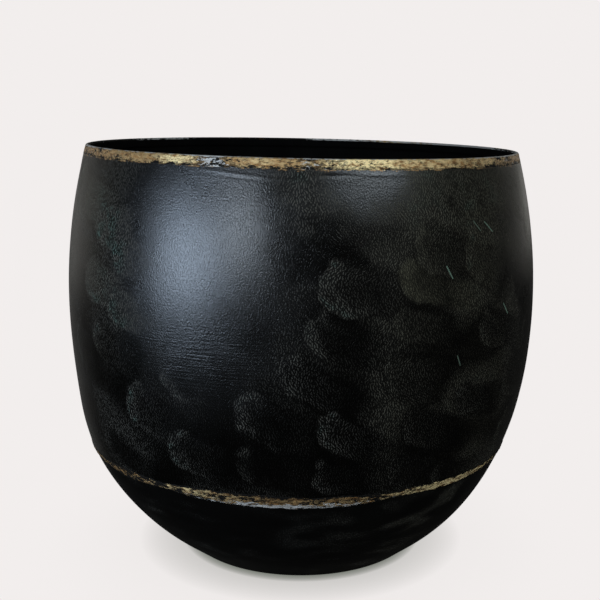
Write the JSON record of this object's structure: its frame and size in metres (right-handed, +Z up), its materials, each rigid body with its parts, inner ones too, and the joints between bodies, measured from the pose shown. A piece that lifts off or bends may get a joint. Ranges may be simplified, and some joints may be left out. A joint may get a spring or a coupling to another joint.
{
  "type": "flower pot",
  "caption": "Round floor-standing flower pot of hammered blackened sheet iron, barrel wall and raised flat bottom, with a worn gilt rim hoop and a gilt brazed seam.",
  "frame": {"origin": "on the floor, under the middle of the pot", "axes": "+Z up along the pot's axis, -Y towards the pictured front, +X to the right seen from the front"},
  "size_m": [0.4, 0.4, 0.3536],
  "materials": {
    "blackened_iron": "satin black patina on hammered sheet, dabbed over with overlapping grey-green sponge marks",
    "worn_gilt": "worn gilt on rough metal, with dark and silver-grey bare patches",
    "felt": "pressed felt"
  },
  "bodies": {
    "root": {"barrel_wall": "blackened_iron", "barrel_weld": "blackened_iron", "rim_ring": "worn_gilt", "rim_braze": "blackened_iron", "seam_braze": "worn_gilt", "base_bowl": "blackened_iron", "floor_pad_1": "felt", "floor_pad_2": "felt", "floor_pad_3": "felt", "floor_pad_4": "felt"}
  },
  "joints": []
}
